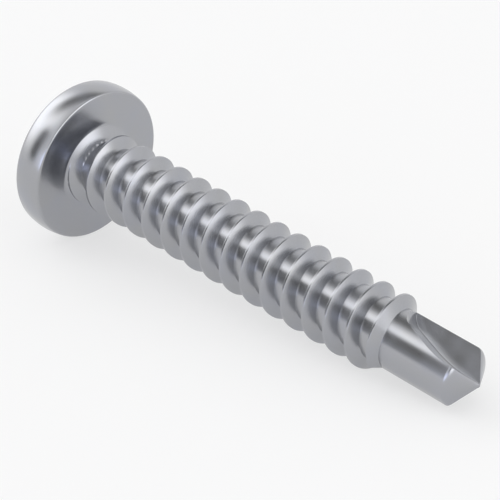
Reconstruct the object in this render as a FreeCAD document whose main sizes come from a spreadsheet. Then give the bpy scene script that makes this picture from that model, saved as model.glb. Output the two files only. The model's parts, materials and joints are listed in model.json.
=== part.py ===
# Self drilling screw: pan head with a cross recess, coarse right-hand thread and a two-flute drill point.
# The screw is drawn in millimetres along its own axis, with the bearing face at height 0 and the point
# upwards. It is then laid down as it comes to rest, on the head's side and the last full thread crest.
import FreeCAD, Part
import math
import os
import Sketcher

os.makedirs("parts", exist_ok=True)
doc = FreeCAD.newDocument("self_drilling_screw")

# driving dimensions, lengths in millimetres and angles in degrees
driving = [
    ("thread_diameter", 4.2, "over the crests"),
    ("root_diameter", 3.06, "of the shank between the crests, and of the drill point"),
    ("pitch", 1.384, "advance of the thread in one turn"),
    ("flank_angle", 60, "between the two flanks of the thread"),
    ("crest_flat", 0.13, "width of the flat on the crest"),
    ("thread_phase", 100.9, "direction in which the crest crosses the bearing face"),
    ("full_turns", 15.0145, "of the crest, from the bearing face to the cone that ends the thread"),
    ("fade_start", 47.9, "turn of the crest past the edge of that cone, where it begins to fade"),
    ("fade_end", 66.9, "turn past the same edge, where it has faded into the shank"),
    ("sunk", 0.23, "depth of the ridge's foot below the surface of the shank"),
    ("head_height", 3.05, "from the bearing face to the top of the dome"),
    ("side_height", 1.68, "of the rounded side of the head"),
    ("rim_diameter", 8.18, "of the bearing face, and of the dome's edge"),
    ("side_radius", 3.3, "of the head's side, seen in section"),
    ("dome_edge_round", 0.45, "between the dome and the side"),
    ("collar_diameter", 4.48, "of the cone under the head, where it meets the bearing face"),
    ("drill_length", 4.27, "from the edge of the cone that ends the thread to the drill point's shoulder"),
    ("point_angle", 118, "of the cone of the drill point"),
    ("web_half", 0.09, "half of the web between the two flutes"),
    ("flute_straight", 0.3, "from the drill point's shoulder on to where a flute's floor turns outwards"),
    ("flute_radius", 7.1, "of that turn"),
    ("flute_slope", 17.6, "of the straight run of the floor after the turn"),
    ("flute_run", 3.25, "from the shoulder back to the end of the straight run"),
    ("flute_end_radius", 1.0, "of the steep end of the floor"),
    ("flute_end_slope", 75, "of the floor where that end leaves the shank"),
    ("recess_span", 4.4, "over two opposite wings of the cross, at its mouth"),
    ("recess_wing", 1.0, "width of a wing at the mouth"),
    ("recess_depth", 2.2, "below the top of the dome"),
    ("foot_span", 1.9, "over two opposite wings at the bottom of the recess"),
    ("foot_wing", 0.62, "width of a wing at the bottom of the recess"),
    ("roll", 40.5, "direction across the axis that points up when the screw lies at rest"),
]
sizes = doc.addObject("Spreadsheet::Sheet", "sizes")
for row, (alias, value, meaning) in enumerate(driving, start=1):
    sizes.set(f"A{row}", meaning)
    sizes.set(f"B{row}", str(value))
    sizes.setAlias(f"B{row}", alias)
doc.recompute()

# lengths that follow from the driving ones, as formulas in the sheet's names
crest = "(sizes.thread_diameter / 2)"
root = "(sizes.root_diameter / 2)"
flank_slope = "tan(sizes.flank_angle / 2)"
thread_front = "(sizes.full_turns * sizes.pitch)"
front_turn = "(360 * sizes.full_turns + sizes.thread_phase)"
shoulder = f"({thread_front} + sizes.drill_length)"
tip_height = f"({shoulder} + {root} / tan(sizes.point_angle / 2))"
clearance = 1
clear = f"({crest} + {clearance})"


def size(formula):
    """Value of a formula in the sheet's names."""
    return float(sizes.evalExpression(formula))


def new_sketch(body, name, plane_role):
    """Sketch on one of the origin planes of its own body."""
    sketch = body.newObject("Sketcher::SketchObject", name)
    plane = next(f for f in body.Origin.OriginFeatures if f.Role == plane_role)
    sketch.AttachmentSupport = [(plane, "")]
    sketch.MapMode = "FlatFace"
    return sketch


def fix_corner(sketch, label, edge, end, across, along):
    """Place one end of an edge by two formulas, or on a sketch axis where a formula is 0."""
    for kind, formula, axis in (("DistanceX", across, -2), ("DistanceY", along, -1)):
        if formula == "0":
            sketch.addConstraint(Sketcher.Constraint("PointOnObject", edge, end, axis))
            continue
        number = sketch.addConstraint(Sketcher.Constraint(kind, -1, 1, edge, end, size(formula)))
        sketch.renameConstraint(number, f"{label}_{kind[-1].lower()}")
        sketch.setExpression(f"Constraints.{label}_{kind[-1].lower()}", formula)


def draw_outline(sketch, corners):
    """Closed outline through corners, each placed by two formulas.

    A corner's last entry is None where a straight line leads to the next corner. For an arc it is the
    radius, with "left" or "right" for the side on which its centre lies on the way to that corner.
    """
    places = [FreeCAD.Vector(size(across), size(along), 0) for _, across, along, _ in corners]
    ends = []
    for start, stop, corner in zip(places, places[1:] + places[:1], corners):
        arc = corner[3]
        if arc is None:
            sketch.addGeometry(Part.LineSegment(start, stop), False)
            ends.append((1, 2))
            continue
        radius = size(arc[0])
        turn = 1 if arc[1] == "left" else -1
        chord = stop - start
        sideways = FreeCAD.Vector(-chord.y, chord.x, 0).normalize() * turn
        centre = (start + stop) * 0.5 + sideways * math.sqrt(radius**2 - (chord.Length / 2) ** 2)
        first, last = (start, stop) if turn == 1 else (stop, start)
        angles = [math.atan2(p.y - centre.y, p.x - centre.x) for p in (first, last)]
        if angles[1] < angles[0]:
            angles[1] += 2 * math.pi
        circle = Part.Circle(centre, FreeCAD.Vector(0, 0, 1), radius)
        sketch.addGeometry(Part.ArcOfCircle(circle, *angles), False)
        ends.append((1, 2) if turn == 1 else (2, 1))
    for edge, (label, across, along, arc) in enumerate(corners):
        following = (edge + 1) % len(corners)
        sketch.addConstraint(Sketcher.Constraint(
            "Coincident", edge, ends[edge][1], following, ends[following][0]))
        fix_corner(sketch, label, edge, ends[edge][0], across, along)
        if arc is not None:
            number = sketch.addConstraint(Sketcher.Constraint("Radius", edge, size(arc[0])))
            sketch.renameConstraint(number, f"{label}_radius")
            sketch.setExpression(f"Constraints.{label}_radius", arc[0])


def round_edge(body, name, radius_name, base, diameter, height):
    """Round the circular edge of a given diameter and height."""
    doc.recompute()
    near = 0.02
    edges = []
    for number, edge in enumerate(base.Shape.Edges, start=1):
        box = edge.BoundBox
        level = abs(box.ZMin - height) < near and abs(box.ZMax - height) < near
        if level and abs(box.XLength - diameter) < near:
            edges.append(f"Edge{number}")
    fillet = body.newObject("PartDesign::Fillet", name)
    fillet.Base = (base, edges)
    fillet.setExpression("Radius", f"sizes.{radius_name}")
    return fillet


def make_blank():
    """Head, collar cone, plain shank and drill cone, turned from one outline."""
    body = doc.addObject("PartDesign::Body", "blank")
    outline = new_sketch(body, "blank_outline", "XZ_Plane")
    dome_rise = "(sizes.head_height - sizes.side_height)"
    rim = "(sizes.rim_diameter / 2)"
    draw_outline(outline, [
        ("dome_top", "0", "-sizes.head_height", (f"({rim}^2 + {dome_rise}^2) / (2 * {dome_rise})", "left")),
        ("dome_edge", rim, "-sizes.side_height", ("sizes.side_radius", "left")),
        ("rim", rim, "0", None),
        ("collar", "sizes.collar_diameter / 2", "0", None),
        ("neck", root, f"(sizes.collar_diameter / 2 - {root}) * {flank_slope}", None),
        ("shoulder", root, shoulder, None),
        ("tip", "0", tip_height, None),
    ])
    turned = body.newObject("PartDesign::Revolution", "blank_turned")
    turned.Profile = outline
    turned.ReferenceAxis = (outline, ["V_Axis"])
    turned.Angle = 360
    round_edge(body, "dome_edge_rounded", "dome_edge_round", turned,
               size("sizes.rim_diameter"), -size("sizes.side_height"))
    return body


def make_thread():
    """Ridge of the thread, from inside the head to the cone and the fade that end it."""
    body = doc.addObject("PartDesign::Body", "thread")
    profile = new_sketch(body, "ridge_profile", "XZ_Plane")
    start = "(-sizes.pitch * sizes.thread_phase / 360)"
    half_flat = "(sizes.crest_flat / 2)"
    foot = f"({root} - sizes.sunk)"
    half_foot = f"({half_flat} + ({crest} - {foot}) * {flank_slope})"
    draw_outline(profile, [
        ("lower_foot", foot, f"{start} - {half_foot}", None),
        ("lower_crest", crest, f"{start} - {half_flat}", None),
        ("upper_crest", crest, f"{start} + {half_flat}", None),
        ("upper_foot", foot, f"{start} + {half_foot}", None),
    ])
    ridge = body.newObject("PartDesign::AdditiveHelix", "ridge")
    ridge.Profile = profile
    ridge.ReferenceAxis = (profile, ["V_Axis"])
    ridge.Mode = "pitch-turns-angle"
    ridge.setExpression("Pitch", "sizes.pitch")
    run_on = 3
    ridge.setExpression("Turns", f"({front_turn} + sizes.fade_end + {run_on}) / 360")

    # the cone in front of the thread has the slope of a flank, so it meets the last flank along one line
    cone = new_sketch(body, "front_cone", "XZ_Plane")
    above = f"{thread_front} + 2 * sizes.pitch"
    outer = clear
    inner = f"({root} - 2 * sizes.sunk)"
    draw_outline(cone, [
        ("cone_inner", inner, f"{thread_front} + ({crest} - {inner}) * {flank_slope}", None),
        ("cone_outer", outer, f"{thread_front} + ({crest} - {outer}) * {flank_slope}", None),
        ("above_outer", outer, above, None),
        ("above_inner", inner, above, None),
    ])
    front = body.newObject("PartDesign::Groove", "front_cut")
    front.Profile = cone
    front.ReferenceAxis = (cone, ["V_Axis"])
    front.Angle = 360

    # the fade is a flat that cuts off the last crest, from its full height down into the shank
    fade = new_sketch(body, "fade_outline", "XY_Plane")
    # corners are given along the direction in which the crest begins to fade, and at a right angle to it
    turned = "(sizes.fade_end - sizes.fade_start)"
    root_out, root_on = f"({root} * cos({turned}))", f"({root} * sin({turned}))"
    run_out, run_in = 0.8, 0.5
    draw_outline(fade, [
        ("beyond", f"{crest} + {run_out} * ({crest} - {root_out})", f"-{run_out} * {root_on}", None),
        ("beyond_far", f"{crest} + {run_out} * ({crest} - {root_out})", clear, None),
        ("within_far", f"{root_out} + {run_in} * ({root_out} - {crest})", clear, None),
        ("within", f"{root_out} + {run_in} * ({root_out} - {crest})", f"{1 + run_in} * {root_on}", None),
    ])
    # the cut begins between the last two crests
    share = 0.35
    fade.setExpression("AttachmentOffset.Base.z", f"{thread_front} - {share} * sizes.pitch")
    fade.setExpression("AttachmentOffset.Rotation.Angle", f"{front_turn} + sizes.fade_start")
    cut = body.newObject("PartDesign::Pocket", "fade_cut")
    cut.Profile = fade
    cut.Reversed = True
    cut.setExpression("Length", "2 * sizes.pitch")
    return body


def make_flute(number):
    """Cutter for one flute: a flat wall through the axis, and a floor that slopes out to a steep end."""
    body = doc.addObject("PartDesign::Body", f"flute_{number}")
    outline = new_sketch(body, f"flute_{number}_outline", "XZ_Plane")
    # the floor's corners, each where the last run or arc, tangent to its neighbours, ends
    turn_along = f"({shoulder} + sizes.flute_straight)"
    slope_across = "(sizes.web_half + sizes.flute_radius * (1 - cos(sizes.flute_slope)))"
    slope_along = f"({turn_along} - sizes.flute_radius * sin(sizes.flute_slope))"
    steep_along = f"({shoulder} - sizes.flute_run)"
    steep_across = f"({slope_across} + ({slope_along} - {steep_along}) * tan(sizes.flute_slope))"
    end_width = "sizes.flute_end_radius * (cos(sizes.flute_slope) - cos(sizes.flute_end_slope))"
    end_length = "sizes.flute_end_radius * (sin(sizes.flute_end_slope) - sin(sizes.flute_slope))"
    end_across = f"({steep_across} + {end_width})"
    end_along = f"({steep_along} - {end_length})"
    draw_outline(outline, [
        ("floor_front", "sizes.web_half", f"{tip_height} + {clearance}", None),
        ("far_front", clear, f"{tip_height} + {clearance}", None),
        ("far_end", clear, end_along, None),
        ("floor_end", end_across, end_along, ("sizes.flute_end_radius", "right")),
        ("floor_steep", steep_across, steep_along, None),
        ("floor_slope", slope_across, slope_along, ("sizes.flute_radius", "right")),
        ("floor_turn", "sizes.web_half", turn_along, None),
    ])
    pad = body.newObject("PartDesign::Pad", f"flute_{number}_block")
    pad.Profile = outline
    pad.Reversed = True
    pad.setExpression("Length", clear)
    body.Placement.Rotation = FreeCAD.Rotation(FreeCAD.Vector(0, 0, 1), 180 * (number - 1))
    return body


def make_recess():
    """Cutter for the cross recess, which narrows towards its bottom."""
    body = doc.addObject("PartDesign::Body", "recess")
    crosses = []
    levels = (("mouth", "sizes.recess_span", "sizes.recess_wing", "-sizes.head_height"),
              ("foot", "sizes.foot_span", "sizes.foot_wing", "sizes.recess_depth - sizes.head_height"))
    for label, span, wing, height in levels:
        cross = new_sketch(body, f"recess_{label}", "XY_Plane")
        signs = ((1, 1), (-1, 1), (-1, -1), (1, -1))
        corners = []
        for quarter, (right, up) in enumerate(signs):
            reach, inner = f"{span} / 2", f"{wing} / 2"
            pair = [(inner, reach), (inner, inner), (reach, inner)]
            for place, (out_x, out_y) in enumerate(pair if right * up < 0 else pair[::-1]):
                corners.append((f"q{quarter}p{place}", f"{right} * {out_x}", f"{up} * {out_y}", None))
        draw_outline(cross, corners)
        cross.setExpression("AttachmentOffset.Base.z", height)
        crosses.append(cross)
    loft = body.newObject("PartDesign::AdditiveLoft", "recess_loft")
    loft.Profile = crosses[0]
    loft.Sections = [crosses[1]]
    loft.Ruled = True
    return body


def combine(kind, name, base, tool):
    result = doc.addObject(f"Part::{kind}", name)
    result.Base = base
    result.Tool = tool
    return result


def lie_down(item):
    """Turn and lower the screw until its head and its last full crest touch the ground."""
    roll, pitch = size("sizes.roll"), size("sizes.pitch")
    crest_radius = size(crest)
    # the crest that touches the ground lies opposite the direction that points up
    lead = size(thread_front) - size("sizes.crest_flat") / 2
    past_phase = (roll + 180 - size("sizes.thread_phase")) / 360
    turns = math.floor(lead / pitch - past_phase)
    contact_height = (turns + past_phase) * pitch + size("sizes.crest_flat") / 2
    # centre of the arc that rounds the head's side
    side_middle = -size("sizes.side_height") / 2
    side_radius = size("sizes.side_radius")
    side_centre = size("sizes.rim_diameter") / 2 - math.sqrt(side_radius**2 - side_middle**2)
    along = contact_height - side_middle
    lower = crest_radius - side_centre
    tilt = math.asin(side_radius / math.hypot(along, lower)) - math.atan2(lower, along)
    raised = contact_height * math.sin(tilt) + crest_radius * math.cos(tilt)
    upright = FreeCAD.Rotation(FreeCAD.Vector(0, 0, 1), 180 - roll)
    laid = FreeCAD.Rotation(FreeCAD.Vector(0, 1, 0), 90 + math.degrees(tilt))
    item.Placement = FreeCAD.Placement(FreeCAD.Vector(0, 0, raised), laid * upright)
    doc.recompute()
    box = item.Shape.optimalBoundingBox(False)
    item.Placement.Base.x = -(box.XMin + box.XMax) / 2
    item.Placement.Base.y = -(box.YMin + box.YMax) / 2
    print(f"tilt {math.degrees(tilt):.2f} degrees, touching at {contact_height:.2f} from the bearing face")
    print(f"low point {box.ZMin:.4f}, middle of the bearing face at {item.Placement.Base}")


screw = combine("Fuse", "threaded_blank", make_blank(), make_thread())
for flute_number in (1, 2):
    screw = combine("Cut", f"with_flute_{flute_number}", screw, make_flute(flute_number))
screw = combine("Cut", "screw", screw, make_recess())
screw.Label = "screw"
doc.recompute()
lie_down(screw)
doc.recompute()

failed = [item.Name for item in doc.Objects if {"Invalid", "Error"} & set(item.State)]
if failed:
    raise RuntimeError(f"features that failed: {failed}")
shape = screw.Shape
if shape.isNull() or not shape.isValid() or len(shape.Solids) != 1:
    raise RuntimeError("the screw is not one valid solid")
shape.exportStep(f"parts/{screw.Label}.step")
print(f"screw: {shape.Volume:.2f} mm3, {len(shape.Faces)} faces")
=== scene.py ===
# Looks of the self drilling screw: one bright, zinc plated piece of steel that lies on a pale floor.
import bmesh
import bpy
import json
import numpy as np
from mathutils import Matrix, Vector


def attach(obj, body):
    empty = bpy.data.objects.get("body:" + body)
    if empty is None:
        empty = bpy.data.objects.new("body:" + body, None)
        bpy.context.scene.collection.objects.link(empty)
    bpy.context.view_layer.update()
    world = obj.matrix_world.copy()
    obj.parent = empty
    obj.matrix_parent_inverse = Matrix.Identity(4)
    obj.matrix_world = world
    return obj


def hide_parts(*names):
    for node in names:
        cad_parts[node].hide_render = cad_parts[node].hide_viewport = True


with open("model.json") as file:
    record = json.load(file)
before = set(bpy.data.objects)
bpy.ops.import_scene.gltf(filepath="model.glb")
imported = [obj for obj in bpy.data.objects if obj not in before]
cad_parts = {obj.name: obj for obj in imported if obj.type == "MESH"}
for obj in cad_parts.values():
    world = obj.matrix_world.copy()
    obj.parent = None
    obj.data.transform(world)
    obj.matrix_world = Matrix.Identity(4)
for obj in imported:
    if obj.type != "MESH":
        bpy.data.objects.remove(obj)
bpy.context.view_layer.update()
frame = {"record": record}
print("frame loaded")

# The screw's own frame: along its axis from the middle of the bearing face to the point. Angles round
# the axis grow from acrossZero towards acrossNinety, and the direction topAngle points up.
mm = 0.001
mounts = {mount["name"]: mount for mount in frame["record"]["mounts"]}
axis = np.array(mounts["thread"]["axis"])
middle = np.array(mounts["thread"]["pos_m"])
topAngle = 40.5
upward = np.cross((0, 1, 0), -axis)
sideways = np.cross(axis, upward)


def placed(radius, angle, height):
    # point = middle + height along the axis + radius outwards, turned by the angle (degrees) round the axis
    turn = np.radians(angle - topAngle)
    outward = np.cos(turn)[..., None] * upward + np.sin(turn)[..., None] * sideways
    return middle + mm * (height[..., None] * axis + radius[..., None] * outward)


head = dict(
    height=3.05,          # mm, from the bearing face to the top of the dome
    sideHeight=1.68,      # of the rounded side
    rim=4.09,             # radius of the bearing face and of the dome's edge, before rounding
    sideRadius=3.3,       # of the side, in section
    edgeRound=0.45,       # dome to side
    rimRound=0.14,        # side to bearing face
    mouthSpan=4.4,        # cross recess, over two wings
    mouthWing=1.0,        # width of a wing
    mouthBorder=0.35,     # strip of the dome's mesh round the wings
    footSpan=1.9,
    footWing=0.62,
    depth=2.2,
)
thread = dict(
    crest=2.1,            # mm, radius over the crests
    root=1.53,            # radius of the shank
    pitch=1.384,
    halfAngle=30,         # degrees, of each flank
    flat=0.13,            # width of the crest
    crestRound=0.008,
    phase=100.9,          # direction in which the crest crosses the bearing face
    turns=15.0145,        # of the crest up to the cone that ends the thread
    fadeStart=47.9,       # turn past that point where the last crest begins to fade
    fadeEnd=66.9,
    collar=2.24,          # radius of the cone under the head at the bearing face
    collarTop=0.075,      # height up to which the cone stands clear of the crest
)
drill = dict(
    length=4.27,          # mm, from the end of the thread to the shoulder
    pointAngle=118,
    web=0.09,             # half of the web between the flutes
    fluteStraight=0.3,    # from the shoulder on to where a flute's floor turns outwards
    fluteRadius=7.1,      # of that turn
    fluteSlope=17.6,      # degrees, of the straight run after it
    fluteRun=3.25,        # from the shoulder back to the end of that run
    fluteEndRadius=1.0,   # of the steep end
    fluteCorner=0.03,     # rounding between the wall and the floor
    cornerShare=0.45,     # most of the wall's or the floor's width that it takes
    shoulderRound=0.13,
)
columns = 96              # per turn round the axis

meshing = dict(
    merge=1.5e-6,         # m, points nearer than this become one
    sliver=1e-7,          # m, shorter edges are dissolved
    sharpAngle=35,        # degrees, from which an edge is shaded sharp
    normalWeight=50,
)

flank = np.tan(np.radians(thread["halfAngle"]))
threadFront = thread["turns"] * thread["pitch"]
frontTurn = 360 * thread["turns"] + thread["phase"]
crestLead = 360 * thread["flat"] / 2 / thread["pitch"]

# angles of the columns: even, but with one exactly where the last flank, crest and fade change
angles = np.linspace(0, 360, columns + 1)
for special in (frontTurn - crestLead, frontTurn + crestLead,
                frontTurn + thread["fadeStart"], frontTurn + thread["fadeEnd"]):
    nearest = int(np.argmin(np.abs(angles - special % 360)))
    angles[nearest] = special % 360


def flankWidth(radius):
    # distance of a flank from the middle of its crest, at a radius
    return thread["flat"] / 2 + (thread["crest"] - radius) * flank


def frontCone(radius):
    # height of the cone that ends the thread, at a radius
    return threadFront + (thread["crest"] - radius) * flank


def collarRadius(height):
    # cone of the flank's slope
    return thread["collar"] - height / flank


def softMax(a, b, width=0.01):
    # the larger of two, with a rounded corner where they are nearly equal
    near = np.clip(width - np.abs(a - b), 0, width)
    return np.maximum(a, b) + near**2 / (4 * width)


def threadSurface(top):
    # Section carried along a helix: back flank, crest, front flank and the shank up to the next back
    # flank. First parameter: turn along the helix. Second: place along the section. Heights are held
    # between the collar's ring and the plain drill, which leaves a closed tube between two rings.
    footWidth = flankWidth(thread["root"])
    firstTurn = thread["phase"] - 360 * (1 + footWidth / thread["pitch"])
    lastTurn = thread["phase"] + 360 * (top + footWidth) / thread["pitch"]
    count = np.arange(int(firstTurn / 360 * columns) - 2, int(lastTurn / 360 * columns) + 3)
    turn = (angles[count % columns] + 360 * (count // columns))[:, None]
    crestHeight = thread["pitch"] * (turn - thread["phase"]) / 360

    # radius that the ridge reaches: its crest, the cone in front of it, or the flat that fades it out
    past = crestHeight - thread["flat"] / 2 - threadFront
    byCone = thread["crest"] - np.maximum(past, 0) / (2 * flank)
    startAngle = np.radians(frontTurn + thread["fadeStart"])
    endAngle = np.radians(frontTurn + thread["fadeEnd"])
    a = np.array([np.cos(startAngle), np.sin(startAngle)]) * thread["crest"]
    b = np.array([np.cos(endAngle), np.sin(endAngle)]) * thread["root"]
    normal = np.array([a[1] - b[1], b[0] - a[0]])
    along = normal[0] * np.cos(np.radians(turn)) + normal[1] * np.sin(np.radians(turn))
    fading = (turn > frontTurn + thread["fadeStart"]) & (turn < frontTurn + thread["fadeEnd"])
    byFade = np.where(fading, (normal @ a) / np.where(fading, along, 1), thread["crest"])
    byFade = np.where(turn >= frontTurn + thread["fadeEnd"], thread["root"], byFade)
    reach = np.clip(np.minimum(byCone, byFade), thread["root"], thread["crest"])

    # flank rows, as shares of the rise from the shank to the crest, closer together at both ends
    dense, sparse, last = 0.2, 0.94, 0.965
    shares = np.concatenate([np.linspace(0, dense, 7)[:-1], np.linspace(dense, sparse, 6), [last]])
    rise = reach - thread["root"]
    flankRadius = thread["root"] + rise * shares

    # corner of the crest: an arc of crestRound, as drops below the crest and insets from the corner
    cornerTurn = np.radians(90 - thread["halfAngle"])
    cut = thread["crestRound"] * np.tan(cornerTurn / 2)
    bend = np.linspace(0, cornerTurn, 4)
    drop = thread["crestRound"] * (1 - np.cos(cornerTurn - bend))
    inset = cut - thread["crestRound"] * np.sin(cornerTurn - bend)

    def backHeight(radius):
        return crestHeight - flankWidth(radius)

    def frontHeight(radius):
        front = np.minimum(crestHeight + flankWidth(radius), frontCone(radius))
        return np.maximum(front, backHeight(radius))

    halfCrest = (frontHeight(reach) - backHeight(reach)) / 2
    midCrest = (frontHeight(reach) + backHeight(reach)) / 2
    rounding = np.clip(np.minimum(halfCrest, rise) / cut / 2, 0, 1)
    cornerRadius = reach - drop * rounding
    span = halfCrest - inset * rounding
    backRows = backHeight(flankRadius)
    frontRows = frontHeight(flankRadius)[:, ::-1]
    landShares = np.linspace(0, 1, 15)[1:]
    nextBack = crestHeight + thread["pitch"] - flankWidth(thread["root"])
    land = frontHeight(np.full_like(turn, thread["root"]))
    landRows = land + (nextBack - land) * landShares
    radius = np.concatenate([flankRadius, cornerRadius, cornerRadius[:, ::-1], flankRadius[:, ::-1],
                             np.full_like(landRows, thread["root"])], axis=1)
    height = np.concatenate([backRows, midCrest - span, (midCrest + span)[:, ::-1], frontRows, landRows],
                            axis=1)
    height = np.clip(height, thread["collarTop"], top)
    radius = np.where(height > thread["collarTop"], softMax(radius, collarRadius(height)),
                      collarRadius(thread["collarTop"]))
    return placed(radius, turn, height)


def arc(centre, radius, start, end, count):
    # points on a circle in the section plane, from one angle (radians) to another
    sweep = np.linspace(start, end, count)
    return np.stack([centre[0] + radius * np.cos(sweep), centre[1] + radius * np.sin(sweep)], axis=1)


def circlesMeet(a, radiusA, b, radiusB):
    # outer crossing of two circles in the section plane
    a, b = np.array(a), np.array(b)
    gap = np.linalg.norm(b - a)
    along = (radiusA**2 - radiusB**2 + gap**2) / (2 * gap)
    off = np.sqrt(radiusA**2 - along**2)
    way = (b - a) / gap
    points = [a + along * way + off * np.array([-way[1], way[0]]) * s for s in (1, -1)]
    return max(points, key=lambda p: p[0])


def headSurface():
    # First parameter: from the bottom of the recess over the dome and the side to the collar. Second: angle.
    rise = head["height"] - head["sideHeight"]
    domeRadius = (head["rim"]**2 + rise**2) / (2 * rise)
    dome = np.array([0, domeRadius - head["height"]])
    sideMiddle = -head["sideHeight"] / 2
    side = np.array([head["rim"] - np.sqrt(head["sideRadius"]**2 - sideMiddle**2), sideMiddle])
    edge = circlesMeet(dome, domeRadius - head["edgeRound"], side, head["sideRadius"] - head["edgeRound"])
    rimUp = np.sqrt((head["sideRadius"] - head["rimRound"])**2 - (sideMiddle + head["rimRound"])**2)
    rim = np.array([side[0] + rimUp, -head["rimRound"]])

    def heading(a, b):
        return np.arctan2(b[1] - a[1], b[0] - a[0])

    mouthReach = head["mouthSpan"] / 2 + head["mouthBorder"]
    domeStart = -np.arccos(mouthReach / domeRadius)
    profile = np.concatenate([
        arc(dome, domeRadius, domeStart, heading(dome, edge), 10),
        arc(edge, head["edgeRound"], heading(dome, edge), heading(side, edge), 10)[1:],
        arc(side, head["sideRadius"], heading(side, edge), heading(side, rim), 18)[1:],
        arc(rim, head["rimRound"], heading(side, rim), np.pi / 2, 7)[1:],
    ])
    ring = np.linspace(rim[0], thread["collar"], 12)[1:]
    cone = np.linspace(0, thread["collarTop"], 4)[1:]
    profile = np.concatenate([profile, np.stack([ring, np.zeros_like(ring)], axis=1),
                              np.stack([collarRadius(cone), cone], axis=1)])
    lathe = placed(profile[:, :1] + 0 * angles, angles + 0 * profile[:, :1], profile[:, 1:] + 0 * angles)

    # the recess: its cross outline has 12 corners, with the same number of columns between each two
    def cross(spanWidth, wing):
        tip, half = spanWidth / 2, wing / 2
        quarter = np.array([(tip, half), (half, half), (half, tip)])
        corners = [quarter]
        for _ in range(3):
            corners.append(np.stack([-corners[-1][:, 1], corners[-1][:, 0]], axis=1))
        corners = np.concatenate(corners)
        between = columns // len(corners)
        at = between * np.arange(-1, len(corners) + 2) + between / 2
        ringed = np.concatenate([corners[-2:], corners, corners[:1]])
        steps = np.arange(columns + 1)
        return np.stack([np.interp(steps, at, ringed[:, i]) for i in (0, 1)], axis=1)

    mouth = cross(head["mouthSpan"], head["mouthWing"])
    foot = cross(head["footSpan"], head["footWing"])

    def domeHeight(point):
        return dome[1] - np.sqrt(domeRadius**2 - (point**2).sum(-1))

    share = np.zeros(columns + 1)
    for _ in range(8):
        lip = mouth + (foot - mouth) * share[:, None]
        share = (domeHeight(lip) + head["height"]) / head["depth"]
    rows = []
    floorHeight = head["depth"] - head["height"]
    for part in np.linspace(0, 1, 6):
        rows.append((foot * part, np.full(columns + 1, floorHeight)))
    for part in np.linspace(1, 0, 10)[1:-1]:
        level = share + (1 - share) * part
        rows.append((mouth + (foot - mouth) * level[:, None], level * head["depth"] - head["height"]))
    circle = mouthReach * np.stack([np.cos(np.radians(angles)), np.sin(np.radians(angles))], axis=1)
    for part in np.linspace(0, 1, 8):
        point = lip + (circle - lip) * part
        rows.append((point, domeHeight(point)))
    flat = np.stack([row[0] for row in rows])
    height = np.stack([row[1] for row in rows])
    recess = placed(np.hypot(flat[..., 0], flat[..., 1]),
                    np.degrees(np.arctan2(flat[..., 1], flat[..., 0])), height)
    return np.concatenate([recess[:-1], lathe])


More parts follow.
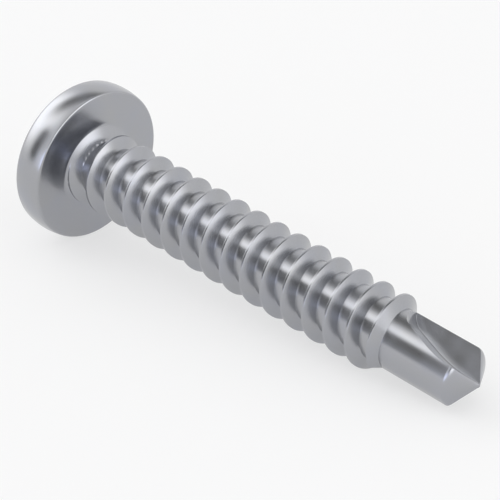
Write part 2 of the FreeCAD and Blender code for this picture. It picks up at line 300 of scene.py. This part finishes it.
def drillSurface():
    # First parameter: height, from the thread to the tip. Second: round the section, which on each half
    # is the flat wall of a flute, its rounded corner, its floor, and the land up to the next wall.
    # Returned with the height at which it starts, midway between the thread's foot and the flutes.
    shoulder = threadFront + drill["length"]
    slope = np.tan(np.radians(drill["pointAngle"] / 2))
    tip = shoulder + thread["root"] / slope
    shy = drill["shoulderRound"]

    # the floor's distance from the middle: web, arc, straight run and steep arc, each tangent to the next
    rise = np.radians(drill["fluteSlope"])
    turnAlong = shoulder + drill["fluteStraight"]
    slopeAlong = turnAlong - drill["fluteRadius"] * np.sin(rise)
    slopeAcross = drill["web"] + drill["fluteRadius"] * (1 - np.cos(rise))
    steepAlong = shoulder - drill["fluteRun"]
    steepAcross = slopeAcross + (slopeAlong - steepAlong) * np.tan(rise)
    endCosine = np.cos(rise) - (thread["root"] - steepAcross) / drill["fluteEndRadius"]
    begin = steepAlong - drill["fluteEndRadius"] * (np.sqrt(1 - endCosine**2) - np.sin(rise))
    start = (frontCone(thread["root"]) + begin) / 2

    def floorAcross(height):
        turned = np.clip(turnAlong - height, 0, turnAlong - slopeAlong)
        arcPart = drill["web"] + drill["fluteRadius"] - np.sqrt(drill["fluteRadius"]**2 - turned**2)
        straight = np.clip(slopeAlong - height, 0, slopeAlong - steepAlong) * np.tan(rise)
        sine = np.sin(rise) + np.clip(steepAlong - height, 0, steepAlong - begin) / drill["fluteEndRadius"]
        return arcPart + straight + drill["fluteEndRadius"] * (np.cos(rise) - np.sqrt(1 - sine**2))

    # rows along the axis, crowded at the flute's steep end and round the shoulder
    crowding = 1.6
    height = np.concatenate([
        [start], begin + (steepAlong - begin) * np.linspace(0, 1, 26)**crowding,
        np.linspace(steepAlong, shoulder - shy, 40)[1:],
        shoulder - shy * np.cos(np.linspace(0, np.pi, 9))[1:-1], np.linspace(shoulder + shy, tip, 16)])
    cylinder = np.minimum(thread["root"], (tip - height) * slope)
    edgeGap = np.abs(height - shoulder)
    cylinder = cylinder - np.where(edgeGap < shy, slope * (shy - edgeGap)**2 / (4 * shy), 0)
    cylinder = np.maximum(cylinder, 0)[:, None]
    floor = np.minimum(floorAcross(height)[:, None], cylinder)
    edgeHeight = np.sqrt(np.maximum(cylinder**2 - floor**2, 0))
    room = np.minimum(cylinder - floor, edgeHeight)
    corner = np.minimum(drill["fluteCorner"], drill["cornerShare"] * room)
    wallShare = np.linspace(0, 1, 6)
    quarter = np.radians(np.linspace(0, 90, 8))[1:]
    floorShare = np.linspace(0, 1, 10)[1:]
    across = np.concatenate([cylinder + (floor + corner - cylinder) * wallShare,
                             floor + corner * (1 - np.sin(quarter)), floor + 0 * floorShare], axis=1)
    up = np.concatenate([0 * cylinder * wallShare, corner * (1 - np.cos(quarter)),
                         corner + (edgeHeight - corner) * floorShare], axis=1)
    cutRadius = np.hypot(across, up)
    cutAngle = np.degrees(np.arctan2(up, across))
    edge = cutAngle[:, -1:]
    radius, angle = [], []
    for side, steps in ((0, angles[1:columns // 2 + 1]), (180, angles[columns // 2 + 1:] - 180)):
        radius += [cutRadius, cylinder + 0 * steps]
        angle += [side + cutAngle, side + edge + (180 - edge) * steps / 180]
    radius = np.concatenate(radius + [cylinder], axis=1)
    angle = np.concatenate(angle + [360 + 0 * cylinder], axis=1)
    return placed(radius, angle, height[:, None] + 0 * radius), start


def meshOfGrids(name, grids):
    # each grid becomes quads; equal points are merged, so grids that share an edge are joined there
    points, faces, used = [], [], 0
    for grid in grids:
        rows, across = grid.shape[:2]
        index = used + np.arange(rows * across).reshape(rows, across)
        quads = np.stack([index[:-1, :-1], index[1:, :-1], index[1:, 1:], index[:-1, 1:]], axis=-1)
        points.append(grid.reshape(-1, 3))
        faces.append(quads.reshape(-1, 4))
        used += rows * across
    mesh = bpy.data.meshes.new(name)
    mesh.from_pydata(np.concatenate(points).tolist(), [], np.concatenate(faces).tolist())
    work = bmesh.new()
    work.from_mesh(mesh)
    bmesh.ops.remove_doubles(work, verts=work.verts, dist=meshing["merge"])
    bmesh.ops.dissolve_degenerate(work, edges=work.edges, dist=meshing["sliver"])
    bmesh.ops.recalc_face_normals(work, faces=work.faces)
    gaps = sum(1 for edge in work.edges if not edge.is_manifold)
    volume = work.calc_volume(signed=True) / mm**3
    print(f"{name}: {len(work.faces)} faces, {gaps} open edges, {volume:.2f} mm3")
    work.to_mesh(mesh)
    work.free()
    mesh.shade_smooth()
    mesh.set_sharp_from_angle(angle=np.radians(meshing["sharpAngle"]))
    piece = bpy.data.objects.new(name, mesh)
    bpy.context.scene.collection.objects.link(piece)
    normals = piece.modifiers.new("evenNormals", "WEIGHTED_NORMAL")
    normals.keep_sharp = True
    normals.weight = meshing["normalWeight"]
    return piece


drillGrid, drillStart = drillSurface()
screwPiece = meshOfGrids("screwBody", [headSurface(), threadSurface(drillStart), drillGrid])
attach(screwPiece, "root")
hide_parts("screw")
print("screw made")


zinc = dict(
    colour=(0.395, 0.4, 0.415, 1),
    gloss=(0.2, 0.26),    # roughness, lowest and highest
    cloudSize=0.0016,     # m, of the patches in which gloss and tint change
    tint=(0.385, 0.395, 0.43, 1),
    cloudDetail=3,
    glossSpan=(0.3, 0.7),     # noise values between which the gloss changes
    tintSpan=(0.35, 0.75),    # noise values between which the colour turns to the tint
    grainSize=0.00006,    # m, of the plating's fine grain
    grainHeight=0.000003,     # m
    grainDepth=0.04,      # strength of its bump
)


def zincPlate():
    # bright zinc on steel: gloss and a faint blue tint change in soft patches, over a very fine grain
    material = bpy.data.materials.new("zincPlate")
    material.use_nodes = True
    nodes, links = material.node_tree.nodes, material.node_tree.links
    shader = nodes["Principled BSDF"]
    shader.inputs["Metallic"].default_value = 1
    place = nodes.new("ShaderNodeTexCoord")
    clouds = nodes.new("ShaderNodeTexNoise")
    clouds.inputs["Scale"].default_value = 1 / zinc["cloudSize"]
    clouds.inputs["Detail"].default_value = zinc["cloudDetail"]
    gloss = nodes.new("ShaderNodeMapRange")
    gloss.inputs["From Min"].default_value = zinc["glossSpan"][0]
    gloss.inputs["From Max"].default_value = zinc["glossSpan"][1]
    gloss.inputs["To Min"].default_value = zinc["gloss"][0]
    gloss.inputs["To Max"].default_value = zinc["gloss"][1]
    tint = nodes.new("ShaderNodeValToRGB")
    tint.color_ramp.elements[0].position = zinc["tintSpan"][0]
    tint.color_ramp.elements[0].color = zinc["colour"]
    tint.color_ramp.elements[1].position = zinc["tintSpan"][1]
    tint.color_ramp.elements[1].color = zinc["tint"]
    grain = nodes.new("ShaderNodeTexNoise")
    grain.inputs["Scale"].default_value = 1 / zinc["grainSize"]
    bump = nodes.new("ShaderNodeBump")
    bump.inputs["Strength"].default_value = zinc["grainDepth"]
    bump.inputs["Distance"].default_value = zinc["grainHeight"]
    links.new(place.outputs["Object"], clouds.inputs["Vector"])
    links.new(place.outputs["Object"], grain.inputs["Vector"])
    links.new(clouds.outputs["Fac"], gloss.inputs["Value"])
    links.new(clouds.outputs["Fac"], tint.inputs["Fac"])
    links.new(grain.outputs["Fac"], bump.inputs["Height"])
    links.new(gloss.outputs["Result"], shader.inputs["Roughness"])
    links.new(tint.outputs["Color"], shader.inputs["Base Color"])
    links.new(bump.outputs["Normal"], shader.inputs["Normal"])
    return material


screwPiece.data.materials.append(zincPlate())


floorLook = dict(
    size=1.2,                 # m
    colour=(0.8, 0.8, 0.8, 1),
    glowShare=0.6,            # how much of what is seen of the floor is a steady white glow
)


def makeFloor():
    # pale floor that takes the screw's shadow; the rest of it is a white glow that the camera and
    # reflections see, and that lights nothing
    half = floorLook["size"] / 2
    mesh = bpy.data.meshes.new("floor")
    corners = [(-half, -half, 0), (half, -half, 0), (half, half, 0), (-half, half, 0)]
    mesh.from_pydata(corners, [], [(0, 1, 2, 3)])
    floor = bpy.data.objects.new("floor", mesh)
    bpy.context.scene.collection.objects.link(floor)
    material = bpy.data.materials.new("paleFloor")
    material.use_nodes = True
    nodes, links = material.node_tree.nodes, material.node_tree.links
    paper = nodes["Principled BSDF"]
    paper.inputs["Base Color"].default_value = floorLook["colour"]
    paper.inputs["Roughness"].default_value = 1
    glow = nodes.new("ShaderNodeEmission")
    path = nodes.new("ShaderNodeLightPath")
    looked = path.outputs["Is Camera Ray"]
    for kind in ("Is Glossy Ray", "Is Transmission Ray"):
        either = nodes.new("ShaderNodeMath")
        either.operation = "MAXIMUM"
        links.new(looked, either.inputs[0])
        links.new(path.outputs[kind], either.inputs[1])
        looked = either.outputs[0]
    share = nodes.new("ShaderNodeMath")
    share.operation = "MULTIPLY"
    share.inputs[1].default_value = floorLook["glowShare"]
    seen = nodes.new("ShaderNodeMixShader")
    links.new(looked, share.inputs[0])
    links.new(share.outputs[0], seen.inputs[0])
    links.new(paper.outputs[0], seen.inputs[1])
    links.new(glow.outputs[0], seen.inputs[2])
    links.new(seen.outputs[0], nodes["Material Output"].inputs["Surface"])
    mesh.materials.append(material)


makeFloor()


def card(azimuth, elevation, width, height, turn, soft, level):
    # a soft rectangle of light in the studio: degrees from +X towards +Y and up, half width and half
    # height, turn in its plane, softness of its edge as a share of its size, and its level
    return dict(azimuth=azimuth, elevation=elevation, width=width, height=height, turn=turn, soft=soft,
                level=level)


studio = dict(
    even=(1, 1, 1, 1),    # level all round; the rest is laid over it in this order
    softbox=card(190, 40, 25, 25, 0, 0.5, (2.6, 2.6, 2.6, 1)),
    bar=card(235, 25, 8, 20, 0, 0.2, (0.1, 0.1, 0.1, 1)),
    lavender=card(285, 5, 30, 15, 0, 0.5, (1.8, 1.9, 2.3, 1)),
    sideLight=card(0, 30, 30, 20, 15, 0.4, (3, 3, 3, 1)),
    overSide=card(40, 55, 25, 10, 0, 0.4, (0.3, 0.3, 0.3, 1)),
    besideSide=card(335, 35, 30, 10, 30, 0.4, (0.1, 0.1, 0.1, 1)),
    darkBack=card(145, 60, 30, 10, 10, 0.6, (0.2, 0.2, 0.2, 1)),
)


def makeStudio():
    # world whose level depends on the direction alone, and which is plain white to the camera
    world = bpy.data.worlds.new("studio")
    bpy.context.scene.world = world
    world.use_nodes = True
    nodes, links = world.node_tree.nodes, world.node_tree.links
    direction = nodes.new("ShaderNodeTexCoord").outputs["Generated"]

    def mathNode(operation, a, b):
        node = nodes.new("ShaderNodeMath")
        node.operation = operation
        for socket, value in zip(node.inputs, (a, b)):
            if isinstance(value, (int, float)):
                socket.default_value = value
            else:
                links.new(value, socket)
        return node.outputs[0]

    def mixed(factor, before, after):
        node = nodes.new("ShaderNodeMix")
        node.data_type = "RGBA"
        links.new(factor, node.inputs["Factor"])
        for socket, value in zip((node.inputs[6], node.inputs[7]), (before, after)):
            if isinstance(value, tuple):
                socket.default_value = value
            else:
                links.new(value, socket)
        return node.outputs[2]

    level = studio["even"]
    for one in studio.values():
        if not isinstance(one, dict):
            continue
        # in the card's own frame x points at its middle, and y and z are 1 at its edges
        own = nodes.new("ShaderNodeMapping")
        own.vector_type = "TEXTURE"
        own.inputs["Rotation"].default_value = np.radians((one["turn"], -one["elevation"], one["azimuth"]))
        own.inputs["Scale"].default_value = (1, np.sin(np.radians(one["width"])),
                                             np.sin(np.radians(one["height"])))
        links.new(direction, own.inputs["Vector"])
        axes = nodes.new("ShaderNodeSeparateXYZ")
        links.new(own.outputs[0], axes.inputs[0])
        # rounded rectangle: fourth root of the sum of the fourth powers
        powers = [mathNode("POWER", axes.outputs[i], 4) for i in (1, 2)]
        reach = mathNode("POWER", mathNode("ADD", powers[0], powers[1]), 0.25)
        edge = nodes.new("ShaderNodeMapRange")
        edge.interpolation_type = "SMOOTHSTEP"
        edge.inputs["From Min"].default_value = 1 - one["soft"]
        edge.inputs["From Max"].default_value = 1 + one["soft"]
        edge.inputs["To Min"].default_value = 1
        edge.inputs["To Max"].default_value = 0
        links.new(reach, edge.inputs["Value"])
        ahead = mathNode("GREATER_THAN", axes.outputs[0], 0)
        level = mixed(mathNode("MULTIPLY", edge.outputs[0], ahead), level, one["level"])
    path = nodes.new("ShaderNodeLightPath")
    level = mixed(path.outputs["Is Camera Ray"], level, (1, 1, 1, 1))
    links.new(level, nodes["Background"].inputs["Color"])


makeStudio()
print("floor and studio made")


view = dict(
    direction=(0.62378, -0.62322, 0.47168),   # from the object to the camera
    distance=0.114578,
    aim=(0.0001533, -0.0003954, 0.003478),
    roll=-0.938,                           # degrees, about the view axis
    lens=168.58,
    sensor=36,
    nearest=0.01,                          # m, what is nearer than this isn't drawn
)


def makeCamera():
    data = bpy.data.cameras.new("camera")
    data.lens = view["lens"]
    data.sensor_width = view["sensor"]
    data.clip_start = view["nearest"]
    camera = bpy.data.objects.new("camera", data)
    bpy.context.scene.collection.objects.link(camera)
    back = Vector(view["direction"]).normalized()
    turned = back.to_track_quat("Z", "Y").to_matrix() @ Matrix.Rotation(np.radians(view["roll"]), 3, "Z")
    place = Matrix.Translation(Vector(view["aim"]) + back * view["distance"])
    camera.matrix_world = place @ turned.to_4x4()
    bpy.context.scene.camera = camera


makeCamera()
bpy.context.scene.view_settings.view_transform = "Standard"
